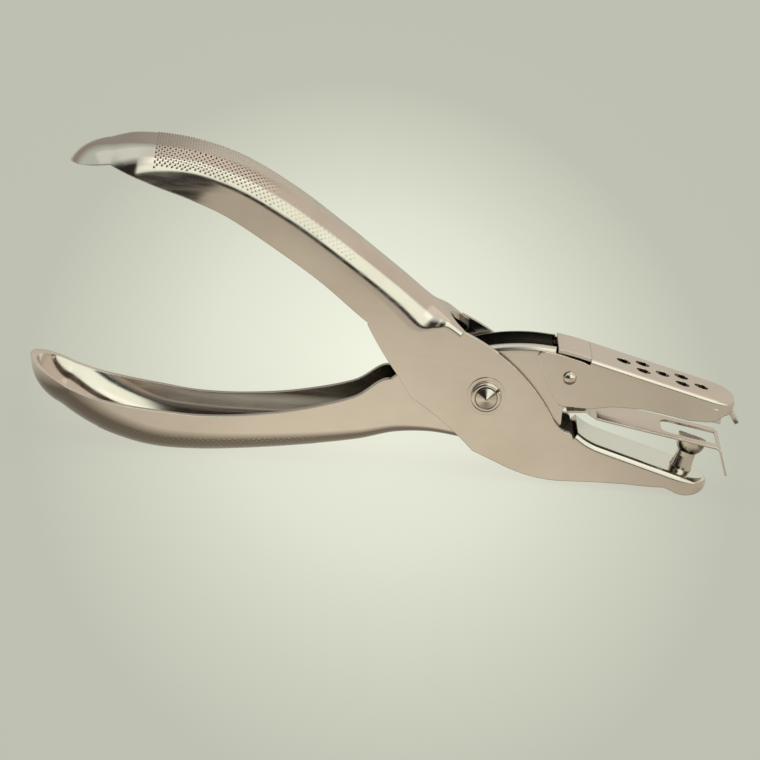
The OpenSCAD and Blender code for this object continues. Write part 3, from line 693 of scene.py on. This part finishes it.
def knurl(rows, name, body, start, stop):
    """Rows of small domes on the back of a handle, from start to stop in mm along its crown."""
    fine = smooth_rows(rows, 24)
    reached = [0.0]
    for a, b in zip(fine, fine[1:]):
        reached.append(reached[-1] + math.dist(a[:2], b[:2]))
    bm = bmesh.new()
    count = int((stop - start) / KNURL_PITCH)
    for i in range(count + 1):
        at = start + i * KNURL_PITCH
        k = min(max(j for j in range(len(reached)) if reached[j] <= at), len(fine) - 2)
        f = (at - reached[k]) / (reached[k + 1] - reached[k])
        row = [a + (b - a) * f for a, b in zip(fine[k], fine[k + 1])]
        crown, down, depth = axes_of(row)
        half_w, corner = row[4], row[5]
        flat = half_w - corner
        lanes = int((flat + corner * 1.15) / KNURL_LANE)
        for j in range(-lanes, lanes + 1):
            if (i + j) % 2:
                continue
            w = j * KNURL_LANE
            # Place and way down of the section: flat crown, then its corner
            if abs(w) <= flat:
                y, d, nrm = w, 0.0, (0.0, -1.0)
            else:
                a = (abs(w) - flat) / corner
                y = math.copysign(flat + corner * math.sin(a), w)
                d = corner - corner * math.cos(a)
                nrm = (math.copysign(math.sin(a), w), -math.cos(a))
            at_dome = place((crown[0] + down[0] * d, y, crown[1] + down[1] * d))
            up = Vector((nrm[1] * down[0], nrm[0], nrm[1] * down[1])).normalized()
            turn = up.to_track_quat("Z", "Y").to_matrix().to_4x4()
            size = Matrix.Diagonal((DOME_R * MM, DOME_R * MM, DOME_RISE * MM, 1))
            bmesh.ops.create_icosphere(bm, subdivisions=1, radius=1.0,
                                       matrix=Matrix.Translation(at_dome) @ turn @ size)
    finish_piece(to_object(bm, name, 80), knurled, body)


knurl(punch_handle, "upper_knurl", "punch_lever", 9.5, 56.0)
knurl(die_handle, "lower_knurl", "die_lever", 9.5, 54.0)

# ---------------------------------------------------------------- camera, floor and lights
# The photograph's frame leans forward by TILT against the part as it stands; lengths in mm, the focal in pixels
ELEVATION, DISTANCE, FOCAL, PICTURE, SENSOR, TILT = rad(17.4), 975.0, 4840.0, 760.0, 36.0, rad(5.2)
AIM = Vector((-21.24, 0.0, 1.15))


def stand(v):
    """From the photograph's frame to the standing frame: turned about the pivot axis."""
    return Vector((v[0] * math.cos(TILT) - v[2] * math.sin(TILT), v[1], v[0] * math.sin(TILT) + v[2] * math.cos(TILT)))


forward = Vector((0, math.cos(ELEVATION), -math.sin(ELEVATION)))
upward = Vector((0, math.sin(ELEVATION), math.cos(ELEVATION)))
eye = AIM - DISTANCE * forward
right_, up_, fwd_ = stand((1, 0, 0)), stand(upward), stand(forward)
camera_data = bpy.data.cameras.new("camera")
camera_data.sensor_width = SENSOR
camera_data.lens = SENSOR * FOCAL / PICTURE
camera_data.clip_start = 0.05
camera_data.clip_end = 20.0
camera = bpy.data.objects.new("camera", camera_data)
bpy.context.scene.collection.objects.link(camera)
at = place(stand(eye))
camera.matrix_world = Matrix(((right_[0], up_[0], -fwd_[0], at[0]), (right_[1], up_[1], -fwd_[1], at[1]),
                              (right_[2], up_[2], -fwd_[2], at[2]), (0, 0, 0, 1)))
bpy.context.scene.camera = camera

# Floor: pale, brightest under the tool, in an oval that is round from the camera
FLOOR_HALF, GLOW_R = 6, 0.1
bm = bmesh.new()
for x, y in ((-1, -1), (1, -1), (1, 1), (-1, 1)):
    bm.verts.new((x * FLOOR_HALF, y * FLOOR_HALF, 0))
bm.faces.new(bm.verts)
floor = to_object(bm, "floor")


def linear(r, g, b):
    """A colour of a screen, 0 to 255, as linear light."""
    return tuple(c / 12.92 if c <= 0.04045 else ((c + 0.055) / 1.055) ** 2.4 for c in (r / 255, g / 255, b / 255))


mat, tree, n, link = tree_of("floor")
coord = n.new("ShaderNodeTexCoord")
mapping = n.new("ShaderNodeMapping")
mapping.inputs["Location"].default_value = (0.0, -0.02, 0.0)
mapping.inputs["Scale"].default_value = (1.0, math.sin(ELEVATION), 1.0)
link.new(coord.outputs["Object"], mapping.inputs["Vector"])
length = n.new("ShaderNodeVectorMath")
length.operation = "LENGTH"
link.new(mapping.outputs[0], length.inputs[0])
tone = colour_ramp(tree, maths(tree, "DIVIDE", length.outputs["Value"], GLOW_R), [
    (0.0, linear(242, 243, 226)), (0.36, linear(224, 225, 209)), (0.46, linear(215, 216, 200)),
    (0.58, linear(204, 205, 190)), (0.75, linear(191, 192, 178)), (1.0, linear(190, 191, 177))])
glow = n.new("ShaderNodeEmission")
glow.inputs["Strength"].default_value = 1.055
matte = n.new("ShaderNodeBsdfDiffuse")
link.new(tone, glow.inputs["Color"])
link.new(tone, matte.inputs["Color"])
both = n.new("ShaderNodeMixShader")
both.inputs[0].default_value = 0.12  # share of the matte part
link.new(glow.outputs[0], both.inputs[1])
link.new(matte.outputs[0], both.inputs[2])
link.new(both.outputs[0], n.new("ShaderNodeOutputMaterial").inputs[0])
floor.data.materials.append(mat)

# World: bright overhead, pale behind, dark low in front, blended softly
world = bpy.data.worlds.new("studio")
bpy.context.scene.world = world
world.use_nodes = True
tree = world.node_tree
n, link = tree.nodes, tree.links
n.clear()
out = n.new("ShaderNodeOutputWorld")
back = n.new("ShaderNodeBackground")
link.new(back.outputs[0], out.inputs[0])
coord = n.new("ShaderNodeTexCoord")
way = split_xyz(tree, coord.outputs["Generated"])
# Elevation in a plane across the tool: 0 at the front, half at the top, 1 at the back
turned = maths(tree, "ARCTAN2", way["Z"], maths(tree, "MULTIPLY", way["Y"], -1.0))
across = map_range(tree, turned, 0.0, math.pi, 0.0, 1.0)
HORIZON, DARK, OVERHEAD = (0.60, 0.60, 0.54), (0.03, 0.028, 0.026), (1.1, 1.3, 1.15)
LEFT_SKY, LEFT_BACK, LEVEL = (0.74, 0.92, 0.86), (0.42, 0.40, 0.36), (0.521, 0.528, 0.446)
right_sky = colour_ramp(tree, across, [
    (0.0, HORIZON), (0.012, DARK), (0.075, DARK), (0.10, OVERHEAD), (0.385, OVERHEAD), (0.43, (0.62, 0.63, 0.57)),
    (0.62, (0.66, 0.65, 0.56)), (0.88, (0.64, 0.63, 0.545)), (1.0, (0.58, 0.57, 0.49))])
# To the left: pale behind and above, dark in front
left_sky = colour_ramp(tree, across, [
    (0.0, HORIZON), (0.012, DARK), (0.30, DARK), (0.42, LEFT_SKY), (0.72, LEFT_SKY), (0.88, LEFT_BACK),
    (1.0, LEFT_BACK)])
rightness = map_range(tree, way["X"], -0.12, 0.15, 0.0, 1.0, "SMOOTHSTEP")
# Dimmer towards the left, and one pale tone at the horizon all round
dim = n.new("ShaderNodeVectorMath")
dim.operation = "SCALE"
link.new(mix(tree, rightness, left_sky, right_sky), dim.inputs[0])
link.new(map_range(tree, way["X"], -0.02, 0.16, 0.75, 1.0, "SMOOTHSTEP"), dim.inputs["Scale"])
above = map_range(tree, way["Z"], 0.04, 0.07, 0.0, 1.0, "SMOOTHSTEP")
link.new(mix(tree, above, LEVEL, dim.outputs[0]), back.inputs["Color"])
back.inputs["Strength"].default_value = 1.0

# One large soft lamp overhead
lamp_data = bpy.data.lights.new("overhead", "AREA")
lamp_data.shape = "SQUARE"
lamp_data.size = 2.4
lamp_data.energy = 3.5
lamp = bpy.data.objects.new("overhead", lamp_data)
lamp.location = (0.0, -0.2, 1.7)
bpy.context.scene.collection.objects.link(lamp)

bpy.context.scene.view_settings.view_transform = "Standard"
